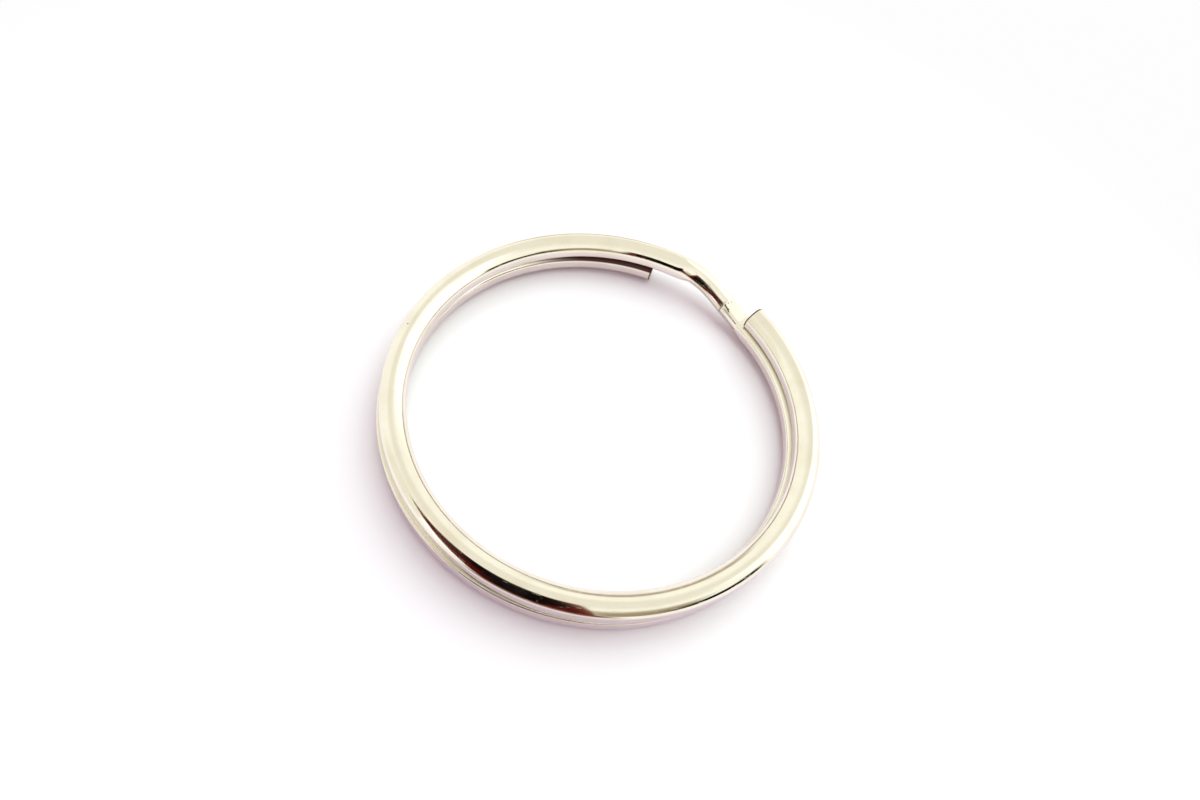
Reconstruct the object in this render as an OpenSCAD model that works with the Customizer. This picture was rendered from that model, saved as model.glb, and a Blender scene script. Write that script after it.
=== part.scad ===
// Split key ring: one length of spring wire wound into two flat turns that lie
// on each other. The wire steps from the upper turn down to the lower one in a
// short crossing beside the two cut ends, so a key can be slid in at an end and
// worked round both turns. The ring lies on the crown of its lower turn, z = 0.

/* [Ring] */
// Outer diameter of a turn
ring_od = 30; // [20:0.5:45]
// Thin gap that the springy wire leaves between its two turns
split_gap = 0.04; // [0.02:0.01:0.12]
// How far the lower turn sits off the upper turn's centre
turn_offset = 0.24; // [0:0.01:0.5]
// Direction in which the lower turn is set off
offset_direction = 187; // [120:1:240]

/* [Wire] */
// Width of the wire, measured across the ring
wire_w = 1.7; // [1.2:0.05:2.6]
// Height of one turn
turn_h = 1.6; // [1.2:0.05:2.4]
// Radius of the outer edges beside the flat faces that press on each other
outer_edge_r = 0.12; // [0.06:0.01:0.3]
// Radius of the inner edges beside those faces
inner_edge_r = 0.38; // [0.1:0.01:0.45]
// Height of the upright outer side, from the flat face to where the crown starts
outer_side_h = 0.95; // [0.6:0.01:1.05]
// Height of the upright inner side
inner_side_h = 0.75; // [0.5:0.01:0.95]
// Width of the narrow level land along the crown
crown_land = 0.1; // [0.04:0.02:0.3]
// How far outside the wire's middle the crown's level land runs
crown_shift = 0.1; // [0:0.01:0.25]
// Fullness of the crown's shoulders: 2 is elliptical, more is squarer
crown_fullness = 2.4; // [2:0.1:3]
// Share of the shoulders' rise that is a steady slope up to the land
crown_slope = 0.5; // [0:0.05:0.7]

/* [Ends and crossing] */
// Angle of the upper turn's cut end
upper_end = 34; // [32:0.5:38]
// Angle of the lower turn's cut end
lower_end = 70; // [67:0.5:90]
// Angle of the bend where the wire leaves the upper turn
kink = 62.6; // [58:0.2:64]
// Angle at which the wire has come down to the lower turn
foot = 31; // [26:0.5:31]
// Share of the crossing that each of its two bends takes
bend_share = 0.05; // [0.03:0.01:0.2]
// Angle where the wire's top has been pressed for the cut end above it
press_start = 43.2; // [41:0.2:48]
// How deep the wire's top is pressed there
press_depth = 0.22; // [0.1:0.01:0.3]
// Width of the pressed flat
press_w = 1; // [0.6:0.05:1.1]
// Width of the bevel along the crossing's inner shoulder
bevel_w = 0.7; // [0.6:0.02:0.8]
// Fullness of that bevel: nearer 1 is flatter
bevel_fullness = 1.5; // [1.3:0.1:2.2]
// How far the wire bows outwards just below the kink
kink_bow = 0.16; // [0:0.01:0.3]

/* [Hidden] */

arc_facets = 240;                       // facets of a full turn in quick views
corner_steps = 8;                       // steps round each corner of the section
slope_bend = 1.4;                       // how softly the slopes run into the land
ring_step = 0.75;                       // degrees between sections of the crossing
mark_len = 0.8;                         // degrees over which the pressed step falls
round_len = 5;                          // degrees over which the wire turns round
crown_len = 8;                          // degrees from the kink to the start of the crown
lead_len = 1.4;                         // level stretch of the crossing above the kink
tail_len = 1;                           // level stretch below the foot
tuck_len = 0.6;                         // how far the crossing's ends reach into the turns
tuck_scale = 0.988;                     // size of those ends, so they lie inside the wire
sweep_start = kink + lead_len;          // the crossing takes over from the upper turn
sweep_end = foot - tail_len;            // and hands over to the lower turn
press_end = upper_end + 1.2;            // below here the pressed top is level

turn_r = (ring_od - wire_w) / 2;        // radius of the wire's centre line
upper_z = turn_h + split_gap;           // level of the upper turn's flat face
round_h = 0.47 * turn_h;                // rise of the wire's round top and foot
press_h = 0.7 * round_h;                // rise of the pressed top's shoulders

// Each half of a section has an outer and an inner corner, and a corner is
// [width, rise, fullness, share of the rise that is a steady slope].
corner_w = (wire_w - crown_land) / 2;
crown = [[corner_w - crown_shift, turn_h - outer_side_h, crown_fullness, crown_slope],
         [corner_w + crown_shift, turn_h - inner_side_h, crown_fullness, crown_slope]];
rounded = [[corner_w, round_h, 2.2, 0], [bevel_w, round_h, bevel_fullness, 0]];
pressed = [for (side = [0, 1]) [(wire_w - press_w) / 2, press_h, 2, 0]];
flat = [for (r = [outer_edge_r, inner_edge_r]) [r, r, 2, 0]];

function mix(a, b, s) = a + (b - a) * s;
function share(a, from, to) = max(0, min(1, (a - from) / (to - from)));
function soft(s) = s * s * (3 - 2 * s);
function flipped(list) = [for (k = [len(list) - 1 : -1 : 0]) list[k]];

// A slope of 0 to 1 with a short bend at each end.
function slope(s, e) =
    s < e ? s * s / (2 * e * (1 - e))
    : s > 1 - e ? 1 - (1 - s) * (1 - s) / (2 * e * (1 - e))
    : (s - e / 2) / (1 - e);

// One rounded corner of the wire, from its side up to the level part.
function corner(c) = [for (k = [0 : corner_steps])
    let (a = 90 * k / corner_steps,
         out = pow(cos(a), 2 / c[2]),
         up = pow(sin(a), 2 / c[2]),
         slant = 1 - pow(out, slope_bend))
    [wire_w / 2 - c[0] + c[0] * out, c[1] * (mix(up, slant, c[3]) - 1)]];

// Outline of the wire between two levels, about its own centre line.
function section(top, under, z_low, z_high) = concat(
    [for (p = corner(top[0])) [p[0], z_high + p[1]]],
    [for (p = flipped(corner(top[1]))) [-p[0], z_high + p[1]]],
    [for (p = corner(under[1])) [-p[0], z_low - p[1]]],
    [for (p = flipped(corner(under[0]))) [p[0], z_low - p[1]]]);

// The crossing, as functions of the angle round the ring.
function low_level(a) = upper_z * (1 - slope(share(a, kink, foot), bend_share));
function high_level(a) =
    let (free = low_level(a) + turn_h,
         fall = press_depth * soft(share(a, press_start, press_start - mark_len)))
    a > press_start ? free : max(turn_h, free - fall);
function top_half(a) =
    let (round = soft(share(a, sweep_start, kink - round_len)),
         press = soft(share(a, press_start, press_start - mark_len)),
         flatten = soft(share(a, press_end, sweep_end)))
    mix(mix(mix(crown, rounded, round), pressed, press), flat, flatten);
function under_half(a) =
    mix(mix(flat, rounded, soft(share(a, kink, kink - round_len))),
        crown, soft(share(a, kink - crown_len, sweep_end)));
function slim(a) =
    mix(1, tuck_scale, max(share(a, sweep_start - tuck_len, sweep_start),
                           share(a, sweep_end + tuck_len, sweep_end)));

// The origin lies halfway between the turns' centres, and the wire's centre
// line shifts from the upper turn's centre to the lower one's.
offset_at = turn_offset * [cos(offset_direction), sin(offset_direction)];
function centre(a) = offset_at * (soft(share(a, sweep_start, sweep_end)) - 0.5);
function line_r(a) = turn_r + kink_bow * sin(180 * share(a, sweep_start, press_start)) ^ 2;

function ring_points(a) =
    let (middle = (low_level(a) + high_level(a)) / 2, size = slim(a))
    [for (p = section(top_half(a), under_half(a), low_level(a), high_level(a)))
        let (r = line_r(a) + size * p[0])
        [centre(a)[0] + r * cos(a), centre(a)[1] + r * sin(a), mix(middle, p[1], size)]];

module crossing() {
    first = sweep_start + tuck_len;
    last = sweep_end - tuck_len;
    count = ceil((first - last) / ring_step);
    angles = [for (k = [0 : count]) mix(first, last, k / count)];
    n = 4 * (corner_steps + 1);
    polyhedron(
        points = [for (a = angles) each ring_points(a)],
        faces = concat(
            [[for (k = [0 : n - 1]) k]],
            [[for (k = [n - 1 : -1 : 0]) count * n + k]],
            [for (r = [0 : count - 1], k = [0 : n - 1])
                let (j = (k + 1) % n)
                each [[r * n + k, (r + 1) * n + k, (r + 1) * n + j],
                      [r * n + k, (r + 1) * n + j, r * n + j]]]));
}

// A level turn between two angles.
module turn(from, to, outline) {
    rotate([0, 0, from]) rotate_extrude(angle = to - from, $fn = arc_facets)
        translate([turn_r, 0]) polygon(outline);
}

module upper_turn() {
    translate(-offset_at / 2)
        turn(sweep_start, upper_end + 360, section(crown, flat, upper_z, upper_z + turn_h));
}

module lower_turn() {
    translate(offset_at / 2)
        turn(lower_end, sweep_end + 360, section(flat, crown, 0, turn_h));
}

module split_ring() {
    color([0.80, 0.78, 0.70]) union() {
        upper_turn();
        crossing();
        lower_turn();
    }
}

split_ring();
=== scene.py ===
import math

import bmesh
import bpy
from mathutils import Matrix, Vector


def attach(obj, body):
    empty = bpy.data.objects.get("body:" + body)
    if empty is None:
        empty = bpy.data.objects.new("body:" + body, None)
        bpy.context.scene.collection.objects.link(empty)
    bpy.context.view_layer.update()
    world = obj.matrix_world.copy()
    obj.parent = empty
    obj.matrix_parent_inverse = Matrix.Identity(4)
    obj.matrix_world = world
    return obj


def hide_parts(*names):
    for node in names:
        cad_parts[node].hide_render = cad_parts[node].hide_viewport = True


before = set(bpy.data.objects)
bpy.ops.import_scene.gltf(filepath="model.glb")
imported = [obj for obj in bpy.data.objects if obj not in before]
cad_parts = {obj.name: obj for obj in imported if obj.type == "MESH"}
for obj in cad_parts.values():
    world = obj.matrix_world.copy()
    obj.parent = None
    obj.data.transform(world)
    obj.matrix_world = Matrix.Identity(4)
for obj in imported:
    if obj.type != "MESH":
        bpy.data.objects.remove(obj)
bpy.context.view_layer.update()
mm = 0.001
print("frame loaded")

# Lengths are in mm. Angles are in degrees, anticlockwise from +x seen from above.
wire = {
    "ringOd": 30.0,  # across one turn
    "splitGap": 0.04,  # between the turns
    "turnOffset": 0.24,  # from the upper turn's axis to the lower one's
    "offsetDirection": 187,
    "width": 1.7,
    "turnHeight": 1.6,
    "outerEdge": 0.12,  # edges of the flat faces that meet between the turns
    "innerEdge": 0.38,
    "outerSide": 0.95,  # heights of the upright sides
    "innerSide": 0.75,
    "crownLand": 0.1,  # level top of the dome, and how far out it stands
    "crownShift": 0.1,
    "crownFullness": 2.4,
    "crownSlope": 0.5,  # from a full dome, 0, to a sloping one, 1
    "slopeBend": 1.4,
    "upperEnd": 34,  # the cut ends
    "lowerEnd": 70,
    "kink": 62.6,  # the wire comes down from here to the foot
    "foot": 31,
    "bendShare": 0.05,  # of the way down, at each end of it
    "roundShare": 0.47,  # of the turn's height, at the crossing's rounded corners
    "roundFullness": 2.2,
    "bevelWidth": 0.7,
    "bevelFullness": 1.5,
    "kinkBow": 0.16,  # how far the wire bows out between the kink and the pressed flat
    "pressStart": 43.2,  # the flat pressed into the top beside the upper cut end
    "pressDepth": 0.22,
    "pressWidth": 1.0,
    "pressShare": 0.7,  # of the rounded corner's height
    "edgeFullness": 2,
    "markLen": 0.8,  # the step down to the flat, an angle as are the lengths below it
    "roundLen": 5,  # past the kink, where the section is rounded
    "crownLen": 8,  # past the kink, where the underside starts to dome
    "leadLen": 1.4,  # before the kink and past the foot, where the form starts and stops changing
    "tailLen": 1,
    "flatLead": 1.2,  # before the upper cut end, where the wire beside it starts to turn flat
    "cornerSteps": 12,
    "landSupport": 0.03,  # from the level land's edge in to a line that keeps it crisp
    "sideSupport": 0.05,  # the same on the upright side
    "endBevel": 0.05,
    "endSegments": 3,
    "arcStep": 0.9,  # between sections of the even arcs and of the crossing
    "crossStep": 0.2,
    "crossMargins": (3, 2),  # fine steps before the kink and past the foot
    "endStep": 0.25,  # over the first and last of the wire
    "endSpan": 1,
}


def mix(a, b, s):
    return a + (b - a) * s


def mixHalf(a, b, s):
    return [[mix(x, y, s) for x, y in zip(*corners)] for corners in zip(a, b)]


def share(a, start, end):
    return max(0.0, min(1.0, (a - start) / (end - start)))


def soft(s):
    return s * s * (3 - 2 * s)


def slope(s, e):  # 0 to 1 with a short bend at each end
    if s < e:
        return s * s / (2 * e * (1 - e))
    if s > 1 - e:
        return 1 - (1 - s) ** 2 / (2 * e * (1 - e))
    return (s - e / 2) / (1 - e)


def lineRadius(w):  # from the ring's axis to the middle of the wire
    return (w["ringOd"] - w["width"]) / 2


def girth(w):  # round the section, as the UV map counts it
    return 2 * (w["width"] + w["turnHeight"])


def runTo(w, a):  # wire between the upper cut end and an angle further on
    return lineRadius(w) * math.radians(w["upperEnd"] + 360 - a)


def wireForm(w):
    # the solid's own rules: where the wire's middle runs and what its section is at an angle
    start, end = w["kink"] + w["leadLen"], w["foot"] - w["tailLen"]
    upperZ = w["turnHeight"] + w["splitGap"]
    roundRise = w["roundShare"] * w["turnHeight"]
    cornerWidth = (w["width"] - w["crownLand"]) / 2
    pressStep = (w["pressStart"], w["pressStart"] - w["markLen"])
    turn = math.radians(w["offsetDirection"])
    offset = Vector((math.cos(turn), math.sin(turn), 0)) * w["turnOffset"]

    def crownCorner(width, side):
        return [width, w["turnHeight"] - side, w["crownFullness"], w["crownSlope"]]

    # each half has an outer and an inner corner: width, height, fullness and slope
    crown = [crownCorner(cornerWidth - w["crownShift"], w["outerSide"]),
             crownCorner(cornerWidth + w["crownShift"], w["innerSide"])]
    rounded = [[cornerWidth, roundRise, w["roundFullness"], 0],
               [w["bevelWidth"], roundRise, w["bevelFullness"], 0]]
    pressed = [[(w["width"] - w["pressWidth"]) / 2, w["pressShare"] * roundRise, w["edgeFullness"], 0]] * 2
    flat = [[r, r, w["edgeFullness"], 0] for r in (w["outerEdge"], w["innerEdge"])]

    def lowLevel(a):
        return upperZ * (1 - slope(share(a, w["kink"], w["foot"]), w["bendShare"]))

    def highLevel(a):
        free = lowLevel(a) + w["turnHeight"]
        if a > w["pressStart"]:
            return free
        return max(w["turnHeight"], free - w["pressDepth"] * soft(share(a, *pressStep)))

    def topHalf(a):
        half = mixHalf(crown, rounded, soft(share(a, start, w["kink"] - w["roundLen"])))
        half = mixHalf(half, pressed, soft(share(a, *pressStep)))
        return mixHalf(half, flat, soft(share(a, w["upperEnd"] + w["flatLead"], end)))

    def underHalf(a):
        half = mixHalf(flat, rounded, soft(share(a, w["kink"], w["kink"] - w["roundLen"])))
        return mixHalf(half, crown, soft(share(a, w["kink"] - w["crownLen"], end)))

    def point(a, corner, t):
        # corner 0 to 3 goes round from the outer top; t is 0 at the side and 1 at the level land
        isTop, isOuter = corner in (0, 1), corner in (0, 3)
        half = topHalf(a) if isTop else underHalf(a)
        width, rise, fullness, slant = half[0 if isOuter else 1]
        angle = math.radians(90) * max(0.0, min(1.0, t))
        out = max(0.0, math.cos(angle)) ** (2 / fullness)
        u = w["width"] / 2 - width + width * out
        v = rise * (mix(math.sin(angle) ** (2 / fullness), 1 - out ** w["slopeBend"], slant) - 1)
        if t < 0:
            v -= w["sideSupport"]
        if t > 1:
            u -= w["landSupport"]
        z = highLevel(a) + v if isTop else lowLevel(a) - v
        bow = w["kinkBow"] * math.sin(math.pi * share(a, start, w["pressStart"])) ** 2
        radius = lineRadius(w) + bow + (u if isOuter else -u)
        centre = offset * (soft(share(a, start, end)) - 0.5)
        around = math.radians(a)
        return mm * (centre + Vector((radius * math.cos(around), radius * math.sin(around), z)))

    return point


def ringAngles(w):
    # the wire's sections from the upper cut end round to the lower one, closer where the form changes
    first, last = w["upperEnd"] + 360, w["lowerEnd"] - 360
    lead, tail = w["crossMargins"]
    crossFrom, crossTo = w["kink"] + lead, w["foot"] - tail
    spans = [
        (first, first - w["endSpan"], w["endStep"]),
        (first - w["endSpan"], crossFrom, w["arcStep"]),
        (crossFrom, crossTo, w["crossStep"]),
        (crossTo, last + w["endSpan"], w["arcStep"]),
        (last + w["endSpan"], last, w["endStep"]),
    ]
    angles = [first]
    for a, b, step in spans:
        count = math.ceil((a - b) / step)
        angles += [mix(a, b, (k + 1) / count) for k in range(count)]
    return angles


def gridPlace(co, along, around):  # a vertex of the straight tube as a section and a spot on it
    spot = round(math.atan2(co.y, co.x) / (2 * math.pi) * around) % around
    return round((co.z + 0.5) * along), spot


def makeWire(w):
    # a straight tube, cut into sections, mapped, and then wound
    point, angles = wireForm(w), ringAngles(w)
    perCorner = w["cornerSteps"] + 3  # both ends of the curve, and a line that supports each
    around, along = 4 * perCorner, len(angles) - 1
    bm = bmesh.new()
    bmesh.ops.create_cone(bm, cap_ends=True, segments=around, radius1=1, radius2=1, depth=1)
    long = [e for e in bm.edges if abs(e.verts[0].co.z - e.verts[1].co.z) > 0.5]
    bmesh.ops.subdivide_edges(bm, edges=long, cuts=along - 1, use_grid_fill=True)
    place = {v: gridPlace(v.co, along, around) for v in bm.verts}
    uv = bm.loops.layers.uv.new("wire")
    for f in bm.faces:
        spots = [place[loop.vert][1] for loop in f.loops]
        wraps = max(spots) - min(spots) > around / 2
        for loop in f.loops:
            ring, spot = place[loop.vert]
            spot += around if wraps and spot < around / 2 else 0
            loop[uv].uv = (runTo(w, angles[ring]), girth(w) * spot / around)
    for v, (ring, spot) in place.items():
        corner, k = divmod(spot, perCorner)
        if corner % 2:
            k = perCorner - 1 - k
        v.co = point(angles[ring], corner, (k - 1) / w["cornerSteps"])
    bmesh.ops.recalc_face_normals(bm, faces=bm.faces)
    caps = [f for f in bm.faces if len(f.verts) == around]
    rims = [e for f in caps for e in f.edges]
    bmesh.ops.bevel(bm, geom=rims, offset=w["endBevel"] * mm, segments=w["endSegments"],
                    profile=0.5, affect="EDGES", material=-1)
    for f in bm.faces:
        f.smooth = len(f.verts) < around
    mesh = bpy.data.meshes.new("ring_wire")
    bm.to_mesh(mesh)
    bm.free()
    piece = bpy.data.objects.new("ring_wire", mesh)
    bpy.context.scene.collection.objects.link(piece)
    return piece


ringWire = makeWire(wire)
print("wire made:", len(ringWire.data.polygons), "faces")


class Socket:
    # an output of a node, so that shader maths reads as Python
    def __init__(self, tree, out):
        self.tree, self.out = tree, out

    def math(self, operation, a, b):
        return self.tree.add("ShaderNodeMath", {"operation": operation}, {0: a, 1: b})

    def __add__(self, other):
        return self.math("ADD", self, other)

    def __radd__(self, other):
        return self.math("ADD", other, self)

    def __sub__(self, other):
        return self.math("SUBTRACT", self, other)

    def __rsub__(self, other):
        return self.math("SUBTRACT", other, self)

    def __mul__(self, other):
        return self.math("MULTIPLY", self, other)

    def __rmul__(self, other):
        return self.math("MULTIPLY", other, self)


def pick(sockets, key):  # by number, or by identifier, as a Mix node has sockets of one name
    return sockets[key] if isinstance(key, int) else next(s for s in sockets if s.identifier == key)


class Tree:
    def __init__(self, owner):
        owner.use_nodes = True
        self.nodes, self.links = owner.node_tree.nodes, owner.node_tree.links
        self.nodes.clear()

    def add(self, kind, settings=None, sockets=None, output=0):
        node = self.nodes.new(kind)
        for name, value in (settings or {}).items():
            setattr(node, name, value)
        for key, value in (sockets or {}).items():
            if isinstance(value, Socket):
                self.links.new(value.out, pick(node.inputs, key))
            else:
                pick(node.inputs, key).default_value = value
        return Socket(self, pick(node.outputs, output)) if node.outputs else None

    def noise(self, at, scale, detail, roughness=0.5):
        sockets = {"Vector": at, "Scale": scale, "Detail": detail, "Roughness": roughness}
        return self.add("ShaderNodeTexNoise", None, sockets)

    def stretch(self, at, scale, turn=0.0):
        return self.add("ShaderNodeMapping", None, {"Vector": at, "Scale": scale, "Rotation": (0, 0, turn)})

    def ease(self, value, start, end, low=0.0, high=1.0):
        return self.add("ShaderNodeMapRange", {"interpolation_type": "SMOOTHSTEP"},
                        {"Value": value, "From Min": start, "From Max": end, "To Min": low, "To Max": high})

    def mixColour(self, factor, a, b):
        return self.add("ShaderNodeMix", {"data_type": "RGBA"},
                        {"Factor_Float": factor, "A_Color": a, "B_Color": b}, "Result_Color")

    def part(self, vector, axis):
        return self.add("ShaderNodeSeparateXYZ", None, {0: vector}, axis)

    def vector(self, operation, a, b=(0, 0, 0), output=0):
        return self.add("ShaderNodeVectorMath", {"operation": operation}, {0: a, 1: b}, output)

    def length(self, vector):
        return self.vector("LENGTH", vector, output="Value")

    def toward(self, vector, direction):
        return self.vector("DOT_PRODUCT", vector, direction, "Value")

    def absolute(self, value):
        return self.add("ShaderNodeMath", {"operation": "ABSOLUTE"}, {0: value})


def heading(degrees):
    return math.cos(math.radians(degrees)), math.sin(math.radians(degrees)), 0


# A pair is where a blend starts and where it is full, unless its note says otherwise.
nickel = {
    "colour": (0.81, 0.77, 0.63, 1),
    "shade": (0.76, 0.71, 0.56, 1),  # in the clouds and the mottles
    "clouds": (0.35, 3, 0.5),  # waves in a mm, detail and roughness, as for mottles and flecks
    "cloudTint": (0.4, 0.75),
    "cloudGloss": (0.35, 0.7),
    "mottle": (3.5, 3, 0.6),
    "mottleTint": (0.5, 0.75),
    "mottleShare": 0.35,
    "roughness": (0.06, 0.15),  # least and most
    "drawn": ((0.25, 9), 0, 3),  # waves in a mm along and across the wire, turn in radians, and detail
    "drawnDepth": 0.0005,
    "wave": ((0.35, 0.9), 0, 1),
    "waveDepth": 0.010,
    "fine": ((0.7, 30), 0, 2),  # breaks up the gloss of the scratches
    "scratch": ((0.9, 22), 0.25, 2),
    "scratchEdge": (0.66, 0.72),
    "cross": ((6, 1.1), 0.6, 2),
    "crossEdge": (0.7, 0.76),
    "scratchDepth": 0.0012,
    "scratchRoughness": 0.12,
    "bevelLean": 0.12,  # how much further the crossing's inner bevel leans in, and how much flatter it looks
    "bevelFlat": 0.08,
    "bevelSpan": (1.07, 1.93),  # its edges, round the section in corners
    "bevelLead": (-1, 2),  # past the kink
    "bevelTail": 0.15,  # before the pressed mark
    "pressedRoughness": 0.2,
    "pressedEdge": 0.1,
    "pressedAbove": (1.5, 1.56),  # height over the floor
    "steel": (0.50, 0.44, 0.34, 1),  # where the plate doesn't cover the cut ends
    "steelRoughness": 0.25,
    "cutEdge": (0.07, 0.042),  # from the wire's end, as for the rim
    "rim": (0.07, 0.045, 0.03, 1),  # a painted shadow line close to each cut end
    "rimFrom": (0.021, 0.049),
    "rimTo": (0.168, 0.098),
    # the colour of the dirt, also used for the painted shade in the seam between the turns
    "dirtAndShade": (0.06, 0.014, 0.009, 1),
    "dirtAndShadeRoughness": 0.5,
    "dirtAndShadeDepth": 0.01,
    "dirtAndShadeHides": 0.8,  # of the metal's gloss
    "flecks": (6, 4, 0.6),
    "fleckEdge": (0.735, 0.78),
    "specks": [  # angle, radius, height and size of the larger ones
        (161.0, 14.3, 3.2, 0.07),
        (162.6, 14.55, 3.15, 0.05),
        (31.6, 13.35, 2.1, 0.06),
        (30.5, 13.4, 2.6, 0.05),
        (29.2, 13.35, 2.3, 0.05),
        (103.0, 14.85, 2.9, 0.1),
        (101.6, 14.9, 2.85, 0.07),
        (42.9, 13.56, 2.02, 0.13),
        (42.2, 13.55, 1.95, 0.12),
        (41.4, 13.53, 1.9, 0.14),
        (40.7, 13.46, 1.82, 0.08),
        (42.5, 14.25, 1.97, 0.05),
        (42.7, 13.95, 2.0, 0.06),
    ],
    "speckRagged": 0.1,
    "speckCore": 0.4,  # of its size
    "speckBlur": (0.06, 0.04),  # beyond its size and its core
    # painted shade: darkening in the seam between the turns, and a dark streak of shade and reflection just
    # below the lower turn's top on the inner side
    "innerSide": (14.1, 13.9),  # radii between which the wire's inner side begins
    "seamEdge": (0.12, 0.04),  # from the middle of the seam
    "seamShare": 0.12,
    "paintedShadeSide": 80,  # where the painted shade along the seam is darkest, near the lower cut end
    "paintedShadeSpread": (36, 12),  # to each side
    "paintedShadeDrop": 0.1,  # below the lower turn's top
    "paintedShadeEdge": (0.19, 0.08),
    "apartEdge": 1,  # at the kink and at the foot, between which the turns lie apart
}


def dirtAndShadeOn(tree, n, w, spot, along, mottled):
    # flecks of dirt all over, the larger specks, and painted shade in the seam where the turns lie on each
    # other, with a painted dark streak of shade and reflection just below the lower turn's top near the
    # lower cut end
    dirtAndShade = tree.ease(tree.noise(spot, *n["flecks"]), *n["fleckEdge"])
    wide, narrow = n["speckBlur"]
    for angle, radius, level, size in n["specks"]:
        at = Vector(heading(angle)) * radius + Vector((0, 0, level))
        gap = tree.vector("DISTANCE", spot, at, "Value")
        ragged = gap + n["speckRagged"] * mottled
        dirtAndShade = dirtAndShade + tree.ease(ragged, size + wide, size * n["speckCore"] + narrow)
    flat = tree.vector("MULTIPLY", spot, (1, 1, 0))
    inner = tree.ease(tree.length(flat), *n["innerSide"])
    level = tree.part(spot, 2)
    seam = tree.absolute(level - (w["turnHeight"] + w["splitGap"] / 2))
    line = tree.absolute(level - (w["turnHeight"] - n["paintedShadeDrop"]))
    beside = tree.toward(tree.vector("NORMALIZE", flat), heading(n["paintedShadeSide"]))
    beside = tree.ease(beside, *[math.cos(math.radians(x)) for x in n["paintedShadeSpread"]])
    # painted shade in the seam, and a painted dark streak of shade and reflection just below the lower
    # turn's top near the lower cut end
    paintedShade = n["seamShare"] * tree.ease(seam, *n["seamEdge"]) + beside * tree.ease(line, *n["paintedShadeEdge"])
    upper, lower, blur = runTo(w, w["kink"]), runTo(w, w["foot"]), n["apartEdge"]
    apart = tree.ease(along, upper - blur, upper) * tree.ease(along, lower + blur, lower)
    return tree.add("ShaderNodeClamp", None, {0: dirtAndShade + inner * paintedShade * (1 - apart)})


def bevelOn(tree, n, w, along, across):
    # relief on the inner bevel of the crossing, from the kink to the pressed mark: a lean and a low hump
    low, high = [x * girth(w) / 4 for x in n["bevelSpan"]]
    slant = tree.add("ShaderNodeMapRange", None, {"Value": across, "From Min": low, "From Max": high})
    kink, mark = runTo(w, w["kink"]), runTo(w, w["pressStart"])
    lead, full = n["bevelLead"]
    bent = tree.ease(along, kink + lead, kink + full) * tree.ease(along, mark, mark - n["bevelTail"])
    return bent * slant * (n["bevelLean"] + 4 * n["bevelFlat"] * (1 - slant))


def nickelMaterial(n, w):
    material = bpy.data.materials.new("nickel")
    tree = Tree(material)
    run = tree.add("ShaderNodeUVMap", {"uv_map": "wire"})
    spot = tree.stretch(tree.add("ShaderNodeTexCoord", output="Object"), (1 / mm,) * 3)  # in mm
    along, across = tree.part(run, 0), tree.part(run, 1)

    def lines(key):
        (lengthways, sideways), turn, detail = n[key]
        return tree.noise(tree.stretch(run, (lengthways, sideways, 1), turn), 1, detail)

    cloudy, mottled = tree.noise(spot, *n["clouds"]), tree.noise(spot, *n["mottle"])
    marks = tree.ease(lines("scratch"), *n["scratchEdge"]) + tree.ease(lines("cross"), *n["crossEdge"])
    # dirt flecks and specks, together with the painted shade in the seam
    dirtAndShade = dirtAndShadeOn(tree, n, w, spot, along, mottled)
    toFinish = runTo(w, w["lowerEnd"] - 360) - along
    fromEnd = tree.add("ShaderNodeMath", {"operation": "MINIMUM"}, {0: along, 1: toFinish})
    cut = tree.ease(fromEnd, *n["cutEdge"])
    # a painted shadow line just in from each cut end
    rim = tree.ease(fromEnd, *n["rimTo"]) * tree.ease(fromEnd, *n["rimFrom"])
    mark = runTo(w, w["pressStart"])
    pressed = tree.ease(along, mark, mark + n["pressedEdge"])
    pressed = pressed * tree.ease(tree.part(spot, 2), *n["pressedAbove"])

    low, high = n["roughness"]
    rough = low + (high - low) * tree.ease(cloudy, *n["cloudGloss"])
    rough = rough + n["scratchRoughness"] * marks * lines("fine") + n["dirtAndShadeRoughness"] * dirtAndShade
    rough = rough + n["steelRoughness"] * cut + n["pressedRoughness"] * pressed

    relief = n["drawnDepth"] * lines("drawn") + n["waveDepth"] * lines("wave") - n["scratchDepth"] * marks
    relief = relief + n["dirtAndShadeDepth"] * dirtAndShade - bevelOn(tree, n, w, along, across)
    bump = tree.add("ShaderNodeBump", None, {"Height": relief, "Distance": mm, "Strength": 1.0})

    colour = tree.mixColour(tree.ease(cloudy, *n["cloudTint"]), n["colour"], n["shade"])
    colour = tree.mixColour(n["mottleShare"] * tree.ease(mottled, *n["mottleTint"]), colour, n["shade"])
    for mask, tint in ((cut, n["steel"]), (rim, n["rim"]), (dirtAndShade, n["dirtAndShade"])):
        colour = tree.mixColour(mask, colour, tint)
    metallic = 1 - n["dirtAndShadeHides"] * dirtAndShade
    sockets = {"Base Color": colour, "Metallic": metallic, "Roughness": rough, "Normal": bump}
    shader = tree.add("ShaderNodeBsdfPrincipled", None, sockets)
    tree.add("ShaderNodeOutputMaterial", None, {0: shader})
    return material


ringWire.data.materials.append(nickelMaterial(nickel, wire))
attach(ringWire, "root")
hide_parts("split_ring")
print("nickel made")

view = {
    "position": (-8.007, -24.995, 42.287),
    "turn": (31.847, -9.183, -2.592),
    "focalPixels": 700,  # of an image this wide
    "imageWidth": 1200,
    "sensor": 36,
    "clip": (0.001, 10),  # in metres
}


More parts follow.
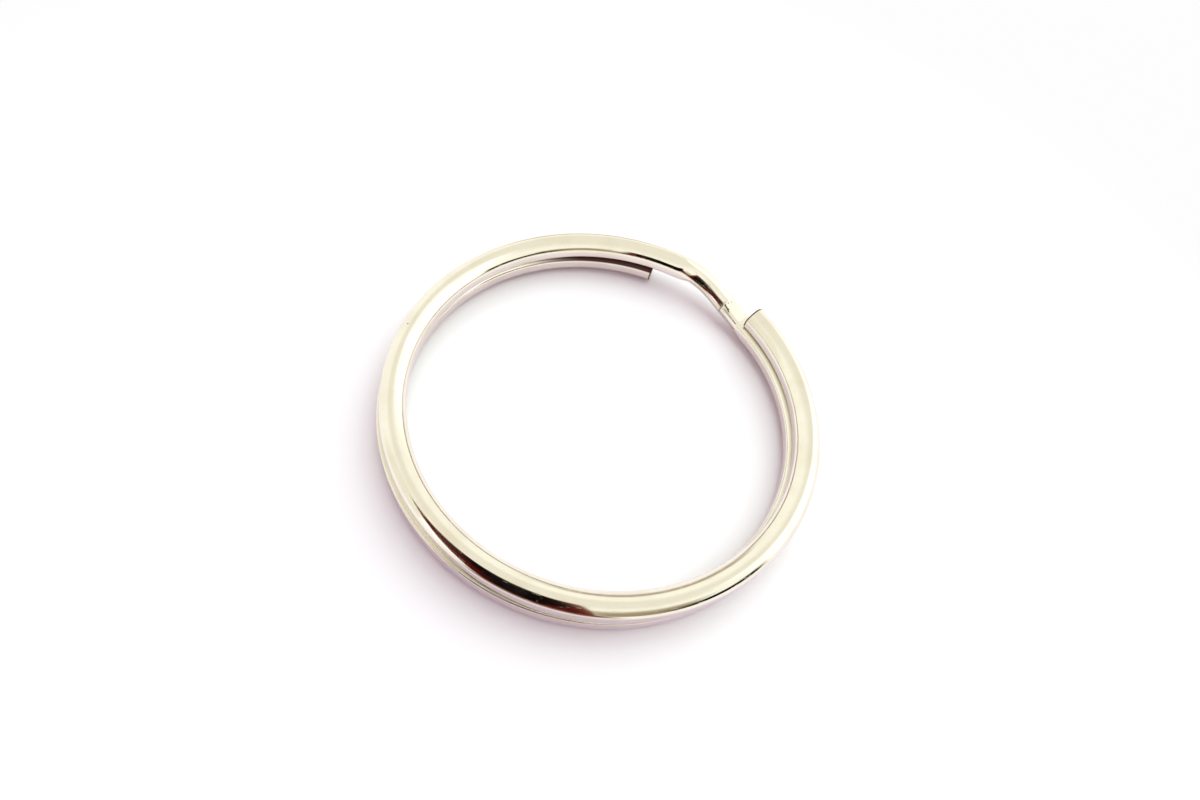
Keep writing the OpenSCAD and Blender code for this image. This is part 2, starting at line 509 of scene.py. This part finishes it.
def makeCamera(c):
    data = bpy.data.cameras.new("camera")
    data.sensor_width = c["sensor"]
    data.lens = c["focalPixels"] / c["imageWidth"] * c["sensor"]
    data.clip_start, data.clip_end = c["clip"]
    camera = bpy.data.objects.new("camera", data)
    camera.location = [x * mm for x in c["position"]]
    camera.rotation_euler = [math.radians(x) for x in c["turn"]]
    bpy.context.scene.collection.objects.link(camera)
    bpy.context.scene.camera = camera


makeCamera(view)
print("camera made")


def makePlane(name, size):
    bm = bmesh.new()
    bmesh.ops.create_grid(bm, x_segments=1, y_segments=1, size=size / 2)
    mesh = bpy.data.meshes.new(name)
    bm.to_mesh(mesh)
    bm.free()
    plane = bpy.data.objects.new(name, mesh)
    bpy.context.scene.collection.objects.link(plane)
    return plane


paper = {
    "size": 4.0,  # in metres
    "colour": (0.9, 0.9, 0.9, 1),
    "grain": (1.5, 3),  # waves in a mm and detail
    "grainDepth": 0.004,
    "grainStrength": 0.3,
    "white": 0.985,  # how white it shows where no shadow reaches
    "clear": (30, 70),  # from the middle of the ring, as are the other distances
    "seen": (0.86, 0.79, 0.93, 1),  # painted reflection, how it looks in the metal: lilac close to the ring, standing in for the paper's shade, and a white glow away from it
    "seenWhite": (1.22, 1.2, 1.25, 1),
    "seenInside": (12.3, 9.0),
    "seenOutside": (16.5, 20.5),
    "front": 251,  # the side where the metal sees a painted dark reflection on it, below what stands dark behind the camera
    "frontWidth": 27,
    "frontFrom": (16, 28),
    "dim": (0.22, 0.09, 0.08, 1),
}


def makeFloor(p):
    floor = makePlane("floor", p["size"])
    material = bpy.data.materials.new("paper")
    tree = Tree(material)
    spot = tree.stretch(tree.add("ShaderNodeTexCoord", output="Object"), (1 / mm,) * 3)
    far = tree.length(spot)
    isCamera = tree.add("ShaderNodeLightPath", output="Is Camera Ray")
    isGlossy = tree.add("ShaderNodeLightPath", output="Is Glossy Ray")
    grain = tree.noise(spot, *p["grain"])
    bump = tree.add("ShaderNodeBump", None,
                    {"Height": grain, "Distance": p["grainDepth"] * mm, "Strength": p["grainStrength"]})
    # painted reflection: glossy rays see the paper lilac near the ring, standing in for its shade, and as a
    # white glow further off
    colour = tree.mixColour(isGlossy, p["colour"], p["seen"])
    matt = tree.add("ShaderNodeBsdfDiffuse", None, {"Color": colour, "Normal": bump})
    glow = tree.mixColour(isGlossy, (1, 1, 1, 1), p["seenWhite"])
    white = tree.add("ShaderNodeEmission", None, {"Color": glow, "Strength": p["white"]})
    bright = tree.ease(far, *p["seenInside"]) + tree.ease(far, *p["seenOutside"])
    clear = isCamera * tree.ease(far, *p["clear"]) + isGlossy * bright
    shown = tree.add("ShaderNodeMixShader", None, {0: clear, 1: matt, 2: white})
    # a painted dark reflection on the paper ahead, seen only in the metal
    ahead = tree.toward(tree.vector("NORMALIZE", spot), heading(p["front"]))
    edge = math.cos(math.radians(p["frontWidth"]))
    dim = isGlossy * tree.ease(ahead, edge, (1 + edge) / 2) * tree.ease(far, *p["frontFrom"])
    gloom = tree.add("ShaderNodeEmission", None, {"Color": p["dim"], "Strength": 1.0})
    shown = tree.add("ShaderNodeMixShader", None, {0: dim, 1: shown, 2: gloom})
    tree.add("ShaderNodeOutputMaterial", None, {0: shown})
    floor.data.materials.append(material)


makeFloor(paper)
print("floor made")

room = {
    "front": 250,  # direction towards the camera, from which the patches are measured
    "ceiling": (1.04, 1.02, 0.97, 1),
    "sides": (1.22, 1.22, 1.2, 1),
    "sideEdge": (62, 34),  # heights over the horizon
    "patches": [  # left, right, top and blur of what stands round the ring, and its colour
        (-82, -52, 44, 6, (1.06, 1.04, 0.98, 1)),  # grey wall
        (-178, -152, 12, 5, (0.55, 0.47, 0.37, 1)),  # low and brown, behind the ring
        (86, 154, 52, 10, (1.6, 1.6, 1.65, 1)),  # wide window
        (24, 60, 22, 4, (0.5, 0.4, 0.28, 1)),  # brown, beside the camera
        (46, 86, 15, 3, (0.004, 0.001, 0.001, 1)),  # black, lower
        (-51, -34, 30, 2, (1.6, 1.6, 1.65, 1)),  # narrow window
    ],
    "fill": (0.69, 0.52, 0.61, 1),  # what the paper gets in the shade
}


def makeRoom(r):
    world = bpy.data.worlds.new("room")
    bpy.context.scene.world = world
    tree = Tree(world)
    way = tree.add("ShaderNodeTexCoord", output="Generated")
    ahead, aside = tree.toward(way, heading(r["front"])), tree.toward(way, heading(r["front"] + 90))
    around = tree.add("ShaderNodeMath", {"operation": "ARCTAN2"}, {0: aside, 1: ahead}) * math.degrees(1)
    rise = tree.add("ShaderNodeMath", {"operation": "ARCSINE"}, {0: tree.part(way, 2)}) * math.degrees(1)
    colour = tree.mixColour(tree.ease(rise, *r["sideEdge"]), r["ceiling"], r["sides"])
    for left, right, top, blur, tint in r["patches"]:
        mask = tree.ease(around, left - blur, left + blur) * tree.ease(around, right + blur, right - blur)
        colour = tree.mixColour(mask * tree.ease(rise, top + blur, top - blur), colour, tint)
    colour = tree.mixColour(tree.add("ShaderNodeLightPath", output="Is Diffuse Ray"), colour, r["fill"])
    colour = tree.mixColour(tree.add("ShaderNodeLightPath", output="Is Camera Ray"), colour, (1, 1, 1, 1))
    background = tree.add("ShaderNodeBackground", None, {"Color": colour, "Strength": 1.0})
    tree.add("ShaderNodeOutputWorld", None, {0: background})


makeRoom(room)
print("room made")

# what stands dark behind the camera, and shows only as streaks in the metal; x runs right and y down
viewer = {
    "size": 0.26,  # in metres
    "left": -62,
    "lowLeft": -82,  # how far it spreads lower down
    "leftBend": (40, 78),
    "right": 5,
    "topLeft": -10,
    "topRight": 14,
    "blur": 2.5,
    "rightBlur": 1,
    "red": (0.10, 0.005, 0.004, 1),
    "dark": (0.004, 0.001, 0.001, 1),  # its core
    "lean": (30, 60),  # lower down the core shifts left by this much
    "leanBy": 19.8,
    "coreLeft": (-47, -26),
    "coreRight": 8,
    "rim": (0.22, 0.05, 0.03, 1),
    "rimTop": (2.5, -1),
    "rimRight": 6,
    "brown": (0.40, 0.33, 0.24, 1),  # beside it on the right
    "brownTo": (75, 40),
    "brownFrom": (26, 40),
    "brownShare": 0.75,
}


def makeViewer(v, c):
    card = makePlane("viewer", v["size"])
    card.location = [x * mm for x in c["position"]]
    card.rotation_euler = [math.radians(x) for x in c["turn"]]
    card.visible_camera = card.visible_diffuse = card.visible_shadow = card.visible_transmission = False
    material = bpy.data.materials.new("viewer")
    tree = Tree(material)
    spot = tree.stretch(tree.add("ShaderNodeTexCoord", output="Object"), (1 / mm, -1 / mm, 1 / mm))
    x, y = tree.part(spot, 0), tree.part(spot, 1)
    blur, right, edge = v["blur"], v["right"], v["rightBlur"]
    rise = (v["topRight"] - v["topLeft"]) / (right - v["left"])
    below = y - (x - right) * rise - v["topRight"]
    left = tree.ease(y, *v["leftBend"], v["left"], v["lowLeft"])
    past = tree.ease(x, right - edge, right + edge)
    inside = tree.ease(below, -blur, blur) * (1 - past) * tree.ease(x - left, -blur, blur)
    beside = past * tree.ease(x, *v["brownTo"]) * tree.ease(y, *v["brownFrom"])
    lean = x + tree.ease(y, *v["lean"], 0, v["leanBy"])
    core = tree.ease(lean, right, right - v["coreRight"]) * tree.ease(lean, *v["coreLeft"])
    colour = tree.mixColour(core, v["red"], v["dark"])
    rim = tree.ease(below, *v["rimTop"]) + tree.ease(x, right - v["rimRight"], right)
    colour = tree.mixColour(rim, colour, v["rim"])
    colour = tree.mixColour(past, colour, v["brown"])
    glow = tree.add("ShaderNodeEmission", None, {"Color": colour, "Strength": 1.0})
    clear = tree.add("ShaderNodeBsdfTransparent", None, {"Color": (1, 1, 1, 1)})
    shown = tree.add("ShaderNodeMixShader", None, {0: inside + v["brownShare"] * beside, 1: clear, 2: glow})
    tree.add("ShaderNodeOutputMaterial", None, {0: shown})
    card.data.materials.append(material)


makeViewer(viewer, view)
print("viewer made")

softbox = {
    "power": 4.5,
    "size": 0.8,  # in metres, as is the distance
    "distance": 0.6,
    "azimuth": 38,
    "elevation": 60,
    "colour": (0.79, 0.98, 0.9),
}


def makeSoftbox(s):
    data = bpy.data.lights.new("softbox", "AREA")
    data.energy, data.size, data.color = s["power"], s["size"], s["colour"]
    lamp = bpy.data.objects.new("softbox", data)
    rise = math.radians(s["elevation"])
    aim = Vector(heading(s["azimuth"])) * math.cos(rise) + Vector((0, 0, math.sin(rise)))
    lamp.location = aim * s["distance"]
    lamp.rotation_euler = aim.to_track_quat("Z", "Y").to_euler()
    lamp.visible_glossy = False
    bpy.context.scene.collection.objects.link(lamp)


makeSoftbox(softbox)
bpy.context.scene.view_settings.view_transform = "Standard"
print("light made")
